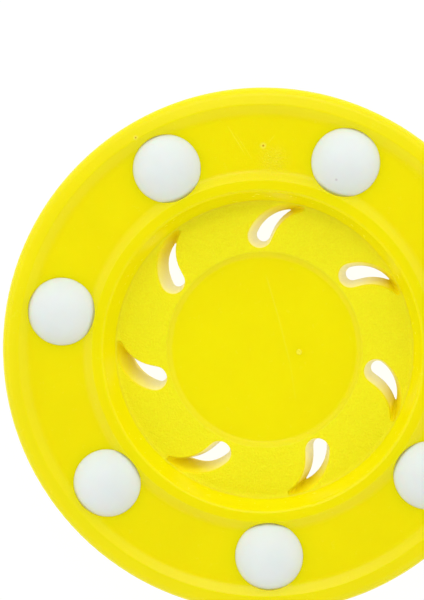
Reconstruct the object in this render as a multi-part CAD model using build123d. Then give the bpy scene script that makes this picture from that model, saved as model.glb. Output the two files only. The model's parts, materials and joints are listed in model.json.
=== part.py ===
from build123d import *
import os
from math import sqrt

# A roller-hockey puck with seven rolling balls on each face. All sizes are millimetres.
# The origin is the puck's centre, z = 0 is the parting plane of the two half shells, and
# the first ball lies on +X. Every z below is for the upper half; the lower half mirrors it.

# Rolling balls
BALL_COUNT = 7
BALL_R = 6.0
BALL_PITCH_R = 31.3
BALL_OUT = 2.85                 # how far a ball stands out of the groove
BALL_CLEARANCE = 0.08           # radial, between a ball and its seat
BALL_HOLE_R = 5.2               # hole in the groove, smaller than the ball

# Outer form of the shell, as radii and heights
RIM_R = 40.0
RIM_EDGE_Z = 12.35              # the rim's top falls away to this at its outer edge
RIM_CREST_Z = 12.8
RIM_CREST_R = 37.4
GROOVE_Z = 12.0
GROOVE_OUTER_R = 35.8
GROOVE_INNER_R = 27.3
RIDGE_TOP_Z = 12.8
RIDGE_OUTER_R = 26.0
RIDGE_INNER_R = 24.3
DISH_R = 22.9
DISH_OUTER_Z = 8.5
DISH_INNER_R = 15.0
DISH_INNER_Z = 8.0
DISC_R = 14.2
DISC_Z = 7.5

# Walls and inner cavity
WALL = 2.2
CAVITY_R = 37.6
RING_CAVITY_R = 25.4            # where the cavity drops below the ridge
CAVITY_TOP_Z = GROOVE_Z - WALL
CAVITY_DISH_Z = DISH_INNER_Z - WALL
CAVITY_DISC_Z = DISC_Z - WALL
DISC_CAVITY_R = 12.8
BALL_CUP_R = 7.6                # outer radius of the tube round each ball
STACK_Z = 5.0                   # cups, bosses and ribs end here, on the retainer
EMBED = 0.6                     # how far cups, bosses and ribs run into the wall above
RIB_WIDTH = 1.6

# Parting line: a tongue on the lower shell fits a groove in the upper one
TONGUE_INNER_R = 38.3
TONGUE_OUTER_R = 39.2
TONGUE_HEIGHT = 1.0
TONGUE_CLEARANCE = 0.05
SEAM_CHAMFER = 0.25

# Comma-shaped slots, drawn in the frame of the ball they swirl towards, with that ball on +Y
SLOT_HEAD_X = -7.65
SLOT_HEAD_Y = 15.7
SLOT_HEAD_R = 1.85
SLOT_BACK_R = 6.7               # convex side
SLOT_BELLY_R = 6.25             # concave side
SLOT_BELLY_Y = 16.8             # height of the concave side's centre
SLOT_TIP_R = 0.3
SLOT_TIP_MIN_R = 0.1
SLOT_DRAFT = 0.1                # inset of the slot's wall for each mm of depth
SLOT_FLARE = 0.25               # widening at the slot's mouth
SLOT_WALL = 1.2                 # thickness of the duct round the slot

# Stack inside: retainers, weight ring and dowel pins
RETAINER_INNER_R = 26.2
RETAINER_OUTER_R = 37.2
WEIGHT_HALF = 1.6
PIN_R = 1.5
PIN_HALF_LENGTH = 9.0
PIN_HOLE_CLEARANCE = 0.1
BOSS_R = 3.0

STATION_STEP = 360.0 / BALL_COUNT
BALL_Z = GROOVE_Z + BALL_OUT - BALL_R
SEAT_R = BALL_R + BALL_CLEARANCE
MIRROR_PLANE = Plane.XY


def at_stations(solid, turn=0.0):
    """The solid repeated at each ball station, turned about the puck's axis."""
    return [Rot(0, 0, turn + k * STATION_STEP) * solid for k in range(BALL_COUNT)]


def revolved(points, radii):
    """A full turn of the closed outline through (radius, z) points with rounded corners."""
    corners = [(radius, 0, z) for radius, z in points]
    outline = FilletPolyline(*corners, radius=radii, close=True)
    return revolve(make_face(outline), Axis.Z)


def ring(inner_r, outer_r, low_z, high_z):
    """A plain ring between two heights."""
    height = high_z - low_z
    align = (Align.CENTER, Align.CENTER, Align.MIN)
    return Pos(0, 0, low_z) * (
        Cylinder(outer_r, height, align=align) - Cylinder(inner_r, height, align=align)
    )


def post(radius, low_z, high_z):
    """A cylinder between two heights, standing on the pitch circle at +X."""
    align = (Align.CENTER, Align.CENTER, Align.MIN)
    return Pos(BALL_PITCH_R, 0, low_z) * Cylinder(radius, high_z - low_z, align=align)


def crossing(centre_a, radius_a, centre_b, radius_b):
    """The upper point where two circles cross."""
    apart = centre_b - centre_a
    along = (apart.length**2 + radius_a**2 - radius_b**2) / (2 * apart.length)
    across = sqrt(radius_a**2 - along**2)
    direction = apart.normalized()
    return centre_a + direction * along + direction.rotate(Axis.Z, 90) * across


def arc_about(centre, start, end):
    """The shorter arc from start to end about a centre."""
    radius = (start - centre).length
    middle = (start + end) / 2 - centre
    return ThreePointArc(start, centre + middle.normalized() * radius, end)


def slot_face(inset, z):
    """The slot's comma outline at a height, with every side moved in by the inset."""
    head = Vector(SLOT_HEAD_X, SLOT_HEAD_Y)
    back = head + Vector(SLOT_BACK_R - SLOT_HEAD_R, 0)
    belly = Vector(SLOT_HEAD_X + SLOT_HEAD_R + SLOT_BELLY_R, SLOT_BELLY_Y)
    head_r = SLOT_HEAD_R - inset
    tip = crossing(back, SLOT_BACK_R - inset, belly, SLOT_BELLY_R + inset)

    left = head - Vector(head_r, 0)
    right = head + Vector(head_r, 0)
    neck = Vector(right.X, SLOT_BELLY_Y)
    outline = make_face(
        ThreePointArc(left, head - Vector(0, head_r), right)
        + Line(right, neck)
        + arc_about(belly, neck, tip)
        + arc_about(back, tip, left)
    )
    tip_corner = outline.vertices().sort_by(Axis.Y)[-1]
    outline = fillet(tip_corner, max(SLOT_TIP_R - inset, SLOT_TIP_MIN_R))
    return Pos(0, 0, z) * Rot(0, 0, -90) * outline


def slot_inset(z):
    """How far the drafted slot wall has moved in at a height."""
    return SLOT_DRAFT * (DISH_INNER_Z - z)


def slot_cut():
    """The drafted slot from the parting plane up through the floor, flared at its mouth."""
    mouth_z = DISH_INNER_Z - SLOT_FLARE / 2
    above_z = DISH_OUTER_Z + SLOT_FLARE / 2
    shaft = loft([slot_face(slot_inset(0), 0), slot_face(0, mouth_z)])
    mouth = loft([slot_face(0, mouth_z), slot_face(-SLOT_FLARE, above_z)])
    return shaft + mouth


def slot_duct():
    """The wall round the slot, from the parting plane up into the floor."""
    top_z = CAVITY_DISH_Z + EMBED
    low = slot_face(slot_inset(0) - SLOT_WALL, 0)
    high = slot_face(slot_inset(top_z) - SLOT_WALL, top_z)
    return loft([low, high])


def shell_body():
    """The half shell's outer form less its cavity."""
    outer = revolved(
        [
            (0, 0),
            (RIM_R - SEAM_CHAMFER, 0),
            (RIM_R, SEAM_CHAMFER),
            (RIM_R, RIM_EDGE_Z),
            (RIM_CREST_R, RIM_CREST_Z),
            (GROOVE_OUTER_R, GROOVE_Z),
            (GROOVE_INNER_R, GROOVE_Z),
            (RIDGE_OUTER_R, RIDGE_TOP_Z),
            (RIDGE_INNER_R, RIDGE_TOP_Z),
            (DISH_R, DISH_OUTER_Z),
            (DISH_INNER_R, DISH_INNER_Z),
            (DISC_R, DISC_Z),
            (0, DISC_Z),
        ],
        [0, 0, 0, 1.5, 0.4, 2.0, 1.4, 0.35, 0.6, 1.1, 0.7, 0.7, 0],
    )
    cavity = revolved(
        [
            (0, 0),
            (CAVITY_R, 0),
            (CAVITY_R, CAVITY_TOP_Z),
            (RING_CAVITY_R, CAVITY_TOP_Z),
            (RING_CAVITY_R, CAVITY_DISH_Z),
            (DISC_CAVITY_R + 1, CAVITY_DISH_Z),
            (DISC_CAVITY_R, CAVITY_DISC_Z),
            (0, CAVITY_DISC_Z),
        ],
        [0, 0, 0.8, 0.8, 0.8, 0.3, 0.3, 0],
    )
    return outer - cavity


def rib():
    """A radial rib through each dowel boss, from the ridge wall to the side wall."""
    length = CAVITY_R - RING_CAVITY_R + 2 * EMBED
    height = CAVITY_TOP_Z + EMBED - STACK_Z
    middle_r = (CAVITY_R + RING_CAVITY_R) / 2
    return Pos(middle_r, 0, STACK_Z + height / 2) * Box(length, RIB_WIDTH, height)


def ball_seat():
    """What a ball needs cut away: its hole, its spherical seat and the way in from below."""
    seat = Pos(BALL_PITCH_R, 0, BALL_Z) * Sphere(SEAT_R)
    return seat + post(SEAT_R, STACK_Z, BALL_Z) + post(BALL_HOLE_R, GROOVE_Z, RIM_CREST_Z + 1)


def upper_half_shell():
    """The shell without its parting-line joint."""
    half_step = STATION_STEP / 2
    wall_z = CAVITY_TOP_Z + EMBED
    shell = shell_body()
    shell += at_stations(slot_duct())
    shell += at_stations(post(BALL_CUP_R, STACK_Z, wall_z))
    shell += at_stations(post(BOSS_R, STACK_Z, wall_z), half_step)
    shell += at_stations(rib(), half_step)
    shell -= at_stations(ball_seat())
    shell -= at_stations(post(PIN_R, STACK_Z, PIN_HALF_LENGTH), half_step)
    shell -= at_stations(slot_cut())
    return shell


def tongue(clearance=0.0):
    """The ring that joins the shells, or with a clearance the groove that takes it."""
    return ring(
        TONGUE_INNER_R - clearance,
        TONGUE_OUTER_R + clearance,
        0,
        TONGUE_HEIGHT + clearance,
    )


def upper_retainer():
    """The ring plate that backs the upper balls."""
    plate = ring(RETAINER_INNER_R, RETAINER_OUTER_R, WEIGHT_HALF, STACK_Z)
    plate -= at_stations(Pos(BALL_PITCH_R, 0, BALL_Z) * Sphere(SEAT_R))
    hole = post(PIN_R + PIN_HOLE_CLEARANCE, WEIGHT_HALF, STACK_Z)
    return plate - at_stations(hole, STATION_STEP / 2)


def weight_ring():
    """The steel ring between the two retainers."""
    plate = ring(RETAINER_INNER_R, RETAINER_OUTER_R, -WEIGHT_HALF, WEIGHT_HALF)
    hole = post(PIN_R + PIN_HOLE_CLEARANCE, -WEIGHT_HALF, WEIGHT_HALF)
    return plate - at_stations(hole, STATION_STEP / 2)


def dowel_pins():
    """Seven pins between the balls, through the whole stack."""
    pin = chamfer(
        post(PIN_R, -PIN_HALF_LENGTH, PIN_HALF_LENGTH).edges().filter_by(GeomType.CIRCLE),
        0.25,
    )
    return Compound(children=at_stations(pin, STATION_STEP / 2))


def main():
    half = upper_half_shell()
    retainer = upper_retainer()
    ball = Pos(BALL_PITCH_R, 0, BALL_Z) * Sphere(BALL_R)

    nodes = {
        "upper_shell": half - tongue(TONGUE_CLEARANCE),
        "lower_shell": mirror(half, MIRROR_PLANE) + tongue(),
        "upper_retainer": retainer,
        "lower_retainer": mirror(retainer, MIRROR_PLANE),
        "weight_ring": weight_ring(),
        "dowel_pins": dowel_pins(),
    }
    for number, placed in enumerate(at_stations(ball), start=1):
        nodes[f"ball_upper_{number}"] = placed
        nodes[f"ball_lower_{number}"] = mirror(placed, MIRROR_PLANE)

    os.makedirs("parts", exist_ok=True)
    for name, shape in nodes.items():
        export_step(shape, f"parts/{name}.step")


main()
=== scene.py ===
import json
import math

import bmesh
import bpy
from mathutils import Matrix, Vector


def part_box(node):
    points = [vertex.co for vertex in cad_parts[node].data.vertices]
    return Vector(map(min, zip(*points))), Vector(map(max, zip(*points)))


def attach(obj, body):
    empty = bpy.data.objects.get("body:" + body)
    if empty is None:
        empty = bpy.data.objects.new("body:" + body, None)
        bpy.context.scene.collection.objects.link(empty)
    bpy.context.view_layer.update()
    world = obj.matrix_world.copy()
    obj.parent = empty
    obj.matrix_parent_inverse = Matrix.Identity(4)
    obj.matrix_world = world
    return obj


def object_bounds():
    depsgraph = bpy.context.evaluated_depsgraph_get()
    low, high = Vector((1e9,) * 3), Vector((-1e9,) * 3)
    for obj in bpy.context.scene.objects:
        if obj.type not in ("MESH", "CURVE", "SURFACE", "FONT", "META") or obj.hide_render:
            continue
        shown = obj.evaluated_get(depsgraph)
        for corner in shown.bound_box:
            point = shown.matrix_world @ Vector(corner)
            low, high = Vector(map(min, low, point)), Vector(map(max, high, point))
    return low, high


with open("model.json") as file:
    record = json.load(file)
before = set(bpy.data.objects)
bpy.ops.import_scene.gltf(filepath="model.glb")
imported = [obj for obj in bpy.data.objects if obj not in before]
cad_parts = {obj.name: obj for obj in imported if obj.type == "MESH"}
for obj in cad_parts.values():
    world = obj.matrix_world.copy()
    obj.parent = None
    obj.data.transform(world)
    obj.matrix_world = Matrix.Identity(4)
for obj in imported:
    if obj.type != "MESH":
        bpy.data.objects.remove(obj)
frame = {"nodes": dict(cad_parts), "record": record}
CAD_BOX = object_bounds()

MM = 0.001

# The view: the puck is turned a little under the camera, which looks almost straight down.
VIEW_TURN = math.radians(-14.85)
CAMERA_AT = Vector((29.4, 27.4, 400.0)) * MM
LOOK_AT = Vector((-7.55, 7.83, 13.0)) * MM
LENS = 154.1
SENSOR = 36.0

# The light tent's strength over its direction's z: from, to, strength at each. It grows from
# the horizon to a bright ring at mid height, then fades to a dim top where the camera looks in.
TENT_RISE = (0.0, 0.6, 0.85, 1.36)
TENT_FALL = (0.6, 1.0, 1.0, 0.06)
TENT_LEAN = 0.08                # the share by which it is brighter towards the view's +Y

# The softbox over the puck, in metres in the view's axes, and its power in watts
SOFTBOX_AT = (-0.05, 0.35, 0.51)
SOFTBOX_SIZE = (0.40, 0.20)
SOFTBOX_POWER = 0.72

# The floor: half its side in metres, its grey, and the light it gives off
FLOOR_HALF = 1.5
FLOOR_GREY = 0.1
FLOOR_GLOW = 0.92

# The shell's zones, as radii and heights in mm from the puck's centre
DISC_EDGE = (14.2, 15.2)
DISH_SPAN = (15.2, 22.6)
DUCT_SPAN = (15.3, 23.0)        # where the slots are
DUCT_TOP = (7.4, 8.0)           # a slot's wall gets its painted glow below these heights
TAIL_SPAN = (18.0, 21.5)        # from a slot's head to its tail
SEAT_SPAN = (25.6, 37.0)        # where the ball seats are
SEAT_TOP = (11.90, 11.96)
RIDGE_WALL_SPAN = (23.1, 24.3)
RIDGE_WALL_RISE = (8.6, 12.0)

# Painted glow: emission that stands in for light through thin plastic and lightens the shade of the slot
# walls, ball seats and ridge wall, as linear colours
SLOT_HEAD_PAINTED_GLOW = (0.15, 0.17, 0.25)
SLOT_TAIL_PAINTED_GLOW = (0.09, 0.06, 0.0)
SEAT_PAINTED_GLOW = (0.40, 0.32, 0.02)
RIDGE_WALL_PAINTED_GLOW = (0.06, 0.07, 0.0)

# Faint marks on the upper face: two ends in mm in the view's axes, width in mm, strength.
# The first three are one flow line on the centre disc, the others scratches in the groove.
STROKES = (
    (((0.2, 11.6), (2.2, 4.8)), 0.35, 0.36),
    (((1.9, 6.0), (4.1, -2.6)), 0.35, 0.30),
    (((3.9, -1.8), (4.9, -8.0)), 0.35, 0.18),
    (((-5.4, 34.4), (-2.6, 29.8)), 0.20, 0.40),
    (((-4.2, 33.2), (-1.4, 28.9)), 0.16, 0.30),
    (((1.9, 32.8), (0.9, 31.6)), 0.20, 0.35),
)

# A rough patch in the groove: its place in mm in the view's axes, and its inner and outer radius
ROUGH_PATCH_AT = (1.9, 28.9)
ROUGH_PATCH_R = (0.8, 3.2)

# Dark specks moulded into the upper face: place in mm in the view's axes, radius in mm
SPECKS = (((0.14, 31.2), 0.20), ((-19.2, 32.4), 0.16))

# The mark left by the moulding gate: its place on the centre disc in mm in the view's axes,
# its section as radii and heights in mm, and the number of its sides
GATE_AT = (5.35, -0.37)
GATE_PROFILE = ((0.46, -0.02), (0.40, 0.05), (0.31, 0.12), (0.20, 0.11), (0.11, 0.04))
GATE_SIDES = 20

# A speck on the second upper ball: mm from its centre in the view's axes, inner and outer radius
BALL_SPECK_AT = (-1.3, -2.6, 5.25)
BALL_SPECK_R = (0.12, 0.26)


def turned(point):
    """A point given in the view's own axes, x right and y up the picture, in the row frame."""
    return Matrix.Rotation(VIEW_TURN, 3, "Z") @ Vector(point)


def face_point(x, y):
    """A point of the upper face in mm, in the view's axes, as row-frame metres at z = 0."""
    return tuple(turned((x * MM, y * MM, 0.0)))


# ---------------------------------------------------------------- node helpers

RANGE_SOCKETS = ("From Min", "From Max", "To Min", "To Max")


class Nodes:
    """A material's node tree with short calls for making and linking nodes."""

    def __init__(self, name):
        self.material = bpy.data.materials.new(name)
        self.material.use_nodes = True
        self.tree = self.material.node_tree
        self.shader = self.tree.nodes["Principled BSDF"]
        self.position = self.add("ShaderNodeTexCoord").outputs["Object"]
        self.flat = self.vector("MULTIPLY", self.position, (1.0, 1.0, 0.0))

    def add(self, kind, **values):
        node = self.tree.nodes.new(kind)
        for key, value in values.items():
            if hasattr(node, key):
                setattr(node, key, value)
            else:
                node.inputs[key.replace("_", " ")].default_value = value
        return node

    def link(self, source, target):
        self.tree.links.new(source, target)

    def feed(self, socket, value):
        """Puts a number, a colour or another node's output into a socket."""
        if isinstance(value, (int, float)):
            socket.default_value = value
        elif isinstance(value, tuple):
            socket.default_value = value if len(socket.default_value) == len(value) else (*value, 1.0)
        else:
            self.link(value, socket)

    def math(self, operation, a, b=0.0):
        node = self.add("ShaderNodeMath", operation=operation)
        for socket, value in zip(node.inputs, (a, b)):
            self.feed(socket, value)
        return node.outputs[0]

    def both(self, a, b):
        """The product of two masks."""
        return self.math("MULTIPLY", a, b)

    def vector(self, operation, a, b):
        node = self.add("ShaderNodeVectorMath", operation=operation)
        for socket, value in zip(node.inputs, (a, b)):
            self.feed(socket, value)
        return node.outputs["Value" if operation in ("DOT_PRODUCT", "DISTANCE") else "Vector"]

    def mix(self, factor, a, b):
        node = self.add("ShaderNodeMix", data_type="RGBA")
        for socket, value in ((node.inputs[0], factor), (node.inputs[6], a), (node.inputs[7], b)):
            self.feed(socket, value)
        return node.outputs[2]

    def noise(self, scale, detail=3.0, roughness=0.5):
        node = self.add("ShaderNodeTexNoise", Scale=scale, Detail=detail, Roughness=roughness)
        self.link(self.position, node.inputs["Vector"])
        return node.outputs["Fac"]

    def remap(self, value, low, high, to_low, to_high):
        node = self.add("ShaderNodeMapRange")
        self.link(value, node.inputs["Value"])
        for name, number in zip(RANGE_SOCKETS, (low, high, to_low, to_high)):
            node.inputs[name].default_value = number
        return node.outputs["Result"]

    def below(self, value, span):
        """1 under the first limit of a span in mm, fading to 0 at the second."""
        return self.remap(value, span[0] * MM, span[1] * MM, 1.0, 0.0)

    def between(self, value, span, soft):
        """1 between two limits in mm, fading to 0 over a soft margin outside them."""
        low, high, soft = span[0] * MM, span[1] * MM, soft * MM
        rise = self.remap(value, low - soft, low, 0.0, 1.0)
        fall = self.remap(value, high, high + soft, 1.0, 0.0)
        return self.both(rise, fall)

    def spot(self, centre, span):
        """1 near a point of the face given in the view's axes, 0 further out."""
        return self.below(self.vector("DISTANCE", self.flat, face_point(*centre)), span)

    def stroke(self, start, end, width):
        """1 along a straight mark between two points of the face, 0 outside it."""
        start, end = Vector(face_point(*start)), Vector(face_point(*end))
        along = (end - start).normalized()
        side = along.cross((0.0, 0.0, 1.0))
        offset = self.vector("SUBTRACT", self.flat, tuple((start + end) / 2))
        lengthwise = self.math("ABSOLUTE", self.vector("DOT_PRODUCT", offset, tuple(along)))
        sideways = self.math("ABSOLUTE", self.vector("DOT_PRODUCT", offset, tuple(side)))
        half = (end - start).length / 2
        ends = self.remap(lengthwise, half * 0.7, half, 1.0, 0.0)
        return self.both(ends, self.below(sideways, (0.0, width / 2)))

    def bump(self, height, distance):
        node = self.add("ShaderNodeBump", Distance=distance, Strength=1.0)
        self.link(height, node.inputs["Height"])
        self.link(node.outputs["Normal"], self.shader.inputs["Normal"])

    def finish(self, colour, roughness, **values):
        """Links the colour and roughness, sets the shader's plain values, returns the material."""
        self.link(colour, self.shader.inputs["Base Color"])
        self.link(roughness, self.shader.inputs["Roughness"])
        for key, value in values.items():
            self.shader.inputs[key.replace("_", " ")].default_value = value
        return self.material


def linear(red, green, blue):
    """An sRGB colour from 0 to 255 as linear values."""

    def channel(value):
        value /= 255.0
        return value / 12.92 if value <= 0.04045 else ((value + 0.055) / 1.055) ** 2.4

    return (channel(red), channel(green), channel(blue))


# ---------------------------------------------------------------- materials


class Shell(Nodes):
    """The shell's material, with masks for the zones of the moulding."""

    def __init__(self):
        super().__init__("shell_plastic")
        split = self.add("ShaderNodeSeparateXYZ")
        self.link(self.position, split.inputs[0])
        self.upper = self.remap(split.outputs["Z"], 0.0, 1.0 * MM, 0.0, 1.0)
        self.height = self.math("ABSOLUTE", split.outputs["Z"])
        self.across = self.vector("DISTANCE", self.flat, (0.0, 0.0, 0.0))
        self.dish = self.between(self.across, DISH_SPAN, 0.3)
        self.grain = self.noise(3800.0, 2.0, 0.6)

    def plastic(self):
        """The plain yellow, and the yellows of the centre disc and the grained dish, which are painted
        brighter to offset the shade of their recesses.
        """
        mottle = self.remap(self.noise(70.0, 4.0, 0.55), 0.35, 0.65, 0.0, 1.0)
        plain = self.mix(mottle, linear(243, 230, 0), linear(240, 227, 0))
        # painted light: the disc's and the dish's yellows are lighter than the plain yellow to offset
        # the shade of their recesses
        polished_painted_lighter = self.mix(mottle, linear(253, 236, 0), linear(250, 232, 0))
        speckle = self.remap(self.grain, 0.38, 0.62, 0.0, 1.0)
        grained_painted_lighter = self.mix(speckle, linear(255, 244, 10), linear(253, 238, 2))
        disc = self.below(self.across, DISC_EDGE)
        return self.mix(self.dish, self.mix(disc, plain, polished_painted_lighter), grained_painted_lighter)

    def lines(self):
        """A mask of the flow line and the scratches."""
        mask = 0.0
        for ends, width, strength in STROKES:
            mask = self.math("MAXIMUM", mask, self.both(self.stroke(*ends, width), strength))
        return self.both(mask, self.upper)

    def speckled(self, colour):
        """The colour with the dark specks, each with a pale halo."""
        for centre, radius in SPECKS:
            halo = self.both(self.spot(centre, (radius, 3.0 * radius)), self.upper)
            colour = self.mix(self.both(halo, 0.5), colour, linear(255, 245, 110))
            core = self.both(self.spot(centre, (0.6 * radius, 1.1 * radius)), self.upper)
            colour = self.mix(core, colour, linear(208, 168, 20))
        return colour

    def painted_glow(self):
        """Painted glow on the walls of the slots, the ball seats and the ridge: emission standing in for
        light through thin plastic, lightening their shade.
        """
        duct = self.both(self.below(self.height, DUCT_TOP), self.between(self.across, DUCT_SPAN, 0.2))
        seat = self.both(self.below(self.height, SEAT_TOP), self.between(self.across, SEAT_SPAN, 0.1))
        low, high = RIDGE_WALL_RISE
        rise = self.remap(self.height, low * MM, high * MM, 1.0, 0.3)
        wall = self.both(rise, self.between(self.across, RIDGE_WALL_SPAN, 0.3))
        tail = self.remap(self.across, TAIL_SPAN[0] * MM, TAIL_SPAN[1] * MM, 0.0, 1.0)
        painted_glow = self.mix(duct, (0.0, 0.0, 0.0), self.mix(tail, SLOT_HEAD_PAINTED_GLOW, SLOT_TAIL_PAINTED_GLOW))
        return self.mix(wall, self.mix(seat, painted_glow, SEAT_PAINTED_GLOW), RIDGE_WALL_PAINTED_GLOW)

    def relief(self, lines):
        """Fine moulding texture, coarser in the dish and the rough patch, and raised lines."""
        rough_patch = self.both(self.spot(ROUGH_PATCH_AT, ROUGH_PATCH_R), self.upper)
        coarse = self.math("MAXIMUM", self.dish, rough_patch)
        grain = self.both(self.grain, coarse)
        texture = self.math("ADD", self.both(self.noise(2600.0, 4.0, 0.6), 0.03), self.both(grain, 0.16))
        return self.math("ADD", texture, self.both(lines, 0.02))


def shell_plastic():
    """Bright yellow moulded ABS: satin gloss, a grain and painted light in the dish, painted glow on the
    slot walls, light wear.
    """
    m = Shell()
    lines = m.lines()
    # painted glow: emission that lightens the shade of the slot walls, ball seats and ridge wall
    m.link(m.painted_glow(), m.shader.inputs["Emission Color"])
    m.bump(m.relief(lines), MM)
    m.shader.inputs["Subsurface Radius"].default_value = (1.0, 0.75, 0.03)
    satin = m.remap(m.noise(900.0, 6.0, 0.7), 0.3, 0.75, 0.20, 0.30)
    return m.finish(
        m.speckled(m.mix(lines, m.plastic(), linear(255, 245, 70))),
        m.math("ADD", satin, m.both(m.dish, 0.22)),
        IOR=1.53,
        Specular_IOR_Level=0.18,
        Subsurface_Weight=0.4,
        Subsurface_Scale=0.004,
        Emission_Strength=1.0,
    )


def gate_plastic_painted_highlight():
    """The same yellow, painted paler as a painted highlight on the small mark, with no depth to it."""
    m = Nodes("gate_plastic_painted_highlight")
    m.bump(m.noise(2400.0), 0.02 * MM)
    # painted highlight: paler yellows than the shell's
    colour = m.mix(m.noise(900.0), linear(255, 245, 60), linear(250, 238, 30))
    roughness = m.remap(m.noise(1500.0), 0.3, 0.7, 0.30, 0.45)
    return m.finish(colour, roughness, IOR=1.53, Specular_IOR_Level=0.3)


def ball_plastic():
    """White polished nylon with a slight waxy depth, and a dark speck on one ball."""
    m = Nodes("ball_plastic")
    tint = m.remap(m.noise(140.0, 3.0, 0.5), 0.3, 0.7, 0.0, 1.0)
    colour = m.mix(tint, linear(228, 235, 232), linear(234, 240, 237))
    low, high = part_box("ball_upper_2")
    speck_at = (Vector(low) + Vector(high)) / 2 + turned(BALL_SPECK_AT) * MM
    speck = m.below(m.vector("DISTANCE", m.position, tuple(speck_at)), BALL_SPECK_R)
    m.bump(m.noise(1800.0, 3.0, 0.5), 0.01 * MM)
    return m.finish(
        m.mix(m.both(speck, 0.8), colour, linear(205, 203, 210)),
        m.remap(m.noise(1500.0), 0.3, 0.7, 0.30, 0.38),
        IOR=1.53,
        Specular_IOR_Level=0.15,
        Subsurface_Weight=0.25,
        Subsurface_Scale=0.002,
    )


def retainer_plastic():
    """Natural moulded nylon, matt and slightly milky."""
    m = Nodes("retainer_plastic")
    m.bump(m.noise(2200.0), 0.03 * MM)
    colour = m.mix(m.noise(120.0), linear(222, 219, 208), linear(232, 229, 219))
    return m.finish(colour, m.remap(m.noise(800.0), 0.3, 0.7, 0.45, 0.6))


def steel(name, low, high, roughness):
    """Bare or plated steel with fine grain."""
    m = Nodes(name)
    m.bump(m.noise(3000.0), 0.01 * MM)
    colour = m.mix(m.noise(400.0, 5.0), linear(*low), linear(*high))
    return m.finish(colour, m.remap(m.noise(1600.0, 5.0), 0.3, 0.7, *roughness), Metallic=1.0)


def dress(slot_name, material):
    """Gives every CAD node of a material slot its material."""
    for subpart in frame["record"]["subparts"]:
        if subpart["material_slot"] == slot_name:
            for slot in frame["nodes"][subpart["node"]].material_slots:
                slot.material = material


dress("shell_plastic", shell_plastic())
dress("ball_plastic", ball_plastic())
dress("retainer_plastic", retainer_plastic())
dress("weight_steel", steel("weight_steel", (150, 152, 156), (172, 174, 178), (0.3, 0.45)))
dress("pin_steel", steel("pin_steel", (176, 178, 182), (196, 198, 202), (0.15, 0.25)))


# ---------------------------------------------------------------- the gate mark


def centre_face_z():
    """The height of the upper centre disc, from its mount."""
    mount = next(m for m in frame["record"]["mounts"] if m["name"] == "upper_centre_face")
    return mount["pos_m"][2]


def gate_mark():
    """The small raised ring that the moulding gate leaves, a lathed piece on the centre disc."""
    centre = Vector(face_point(*GATE_AT)) + Vector((0.0, 0.0, centre_face_z()))
    turns = [Matrix.Rotation(math.tau * k / GATE_SIDES, 3, "Z") for k in range(GATE_SIDES)]
    bm = bmesh.new()
    rings = []
    for radius, rise in GATE_PROFILE:
        corner = Vector((radius, 0.0, rise))
        rings.append([bm.verts.new(centre + (turn @ corner) * MM) for turn in turns])
    for outer, inner in zip(rings, rings[1:]):
        for k in range(GATE_SIDES):
            following = (k + 1) % GATE_SIDES
            bm.faces.new((outer[k], outer[following], inner[following], inner[k]))
    bm.faces.new(rings[-1])
    bm.faces.new(list(reversed(rings[0])))
    mesh = bpy.data.meshes.new("gate_mark")
    bm.to_mesh(mesh)
    bm.free()
    mesh.shade_smooth()
    mesh.materials.append(gate_plastic_painted_highlight())
    mark = bpy.data.objects.new("gate_mark", mesh)
    bpy.context.collection.objects.link(mark)
    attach(mark, "puck")


gate_mark()


# ---------------------------------------------------------------- floor, light and camera


def floor():
    """A wide pale lit table under the puck."""
    low_z = CAD_BOX[0].z
    signs = ((-1, -1), (1, -1), (1, 1), (-1, 1))
    mesh = bpy.data.meshes.new("floor")
    mesh.from_pydata([(FLOOR_HALF * x, FLOOR_HALF * y, low_z) for x, y in signs], [], [(0, 1, 2, 3)])
    table = bpy.data.objects.new("floor", mesh)
    bpy.context.collection.objects.link(table)
    material = bpy.data.materials.new("floor_white")
    material.use_nodes = True
    shader = material.node_tree.nodes["Principled BSDF"]
    shader.inputs["Base Color"].default_value = (FLOOR_GREY, FLOOR_GREY, FLOOR_GREY, 1.0)
    shader.inputs["Roughness"].default_value = 0.9
    shader.inputs["Emission Color"].default_value = (1.0, 1.0, 1.0, 1.0)
    shader.inputs["Emission Strength"].default_value = FLOOR_GLOW
    mesh.materials.append(material)


def softbox():
    """The soft rectangular light over the puck, aimed at its centre."""
    data = bpy.data.lights.new("top_softbox", "AREA")
    data.shape = "RECTANGLE"
    data.size, data.size_y = SOFTBOX_SIZE
    data.energy = SOFTBOX_POWER
    lamp = bpy.data.objects.new("top_softbox", data)
    bpy.context.collection.objects.link(lamp)
    lamp.location = turned(SOFTBOX_AT)
    lamp.rotation_mode = "QUATERNION"
    lamp.rotation_quaternion = (-lamp.location).to_track_quat("-Z", "Y")


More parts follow.
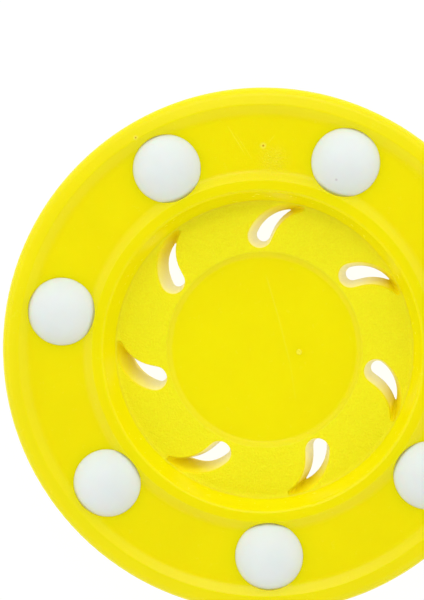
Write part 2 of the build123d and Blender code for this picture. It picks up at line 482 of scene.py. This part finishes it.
def light_tent():
    """The surround: a bright ring of sky all round, dim overhead, a little brighter to one side."""
    world = bpy.data.worlds.new("studio")
    world.use_nodes = True
    tree = world.node_tree
    background = tree.nodes["Background"]
    direction = tree.nodes.new("ShaderNodeTexCoord").outputs["Generated"]

    def maths(operation, a, b):
        node = tree.nodes.new("ShaderNodeMath")
        node.operation = operation
        tree.links.new(a, node.inputs[0])
        if isinstance(b, float):
            node.inputs[1].default_value = b
        else:
            tree.links.new(b, node.inputs[1])
        return node.outputs[0]

    def slope(limits):
        node = tree.nodes.new("ShaderNodeMapRange")
        tree.links.new(split.outputs["Z"], node.inputs["Value"])
        for name, number in zip(RANGE_SOCKETS, limits):
            node.inputs[name].default_value = number
        return node.outputs["Result"]

    split = tree.nodes.new("ShaderNodeSeparateXYZ")
    tree.links.new(direction, split.inputs[0])
    side = tree.nodes.new("ShaderNodeVectorMath")
    side.operation = "DOT_PRODUCT"
    side.inputs[1].default_value = turned((0.0, TENT_LEAN, 0.0))
    tree.links.new(direction, side.inputs[0])
    ring = maths("MULTIPLY", slope(TENT_RISE), slope(TENT_FALL))
    strength = maths("MULTIPLY", ring, maths("ADD", side.outputs["Value"], 1.0))
    tree.links.new(strength, background.inputs["Strength"])
    background.inputs["Color"].default_value = (1.0, 1.0, 1.0, 1.0)
    bpy.context.scene.world = world


def camera():
    """The scene's camera: a long lens almost straight above, without shift."""
    data = bpy.data.cameras.new("camera")
    data.sensor_width = SENSOR
    data.lens = LENS
    data.clip_start, data.clip_end = 0.01, 10.0
    cam = bpy.data.objects.new("camera", data)
    bpy.context.collection.objects.link(cam)
    back = turned(CAMERA_AT - LOOK_AT).normalized()
    right = turned((0.0, 1.0, 0.0)).cross(back).normalized()
    axes = Matrix((right, back.cross(right), back)).transposed().to_4x4()
    cam.matrix_world = Matrix.Translation(turned(CAMERA_AT)) @ axes
    bpy.context.scene.camera = cam


floor()
softbox()
light_tent()
camera()
bpy.context.scene.view_settings.view_transform = "Standard"
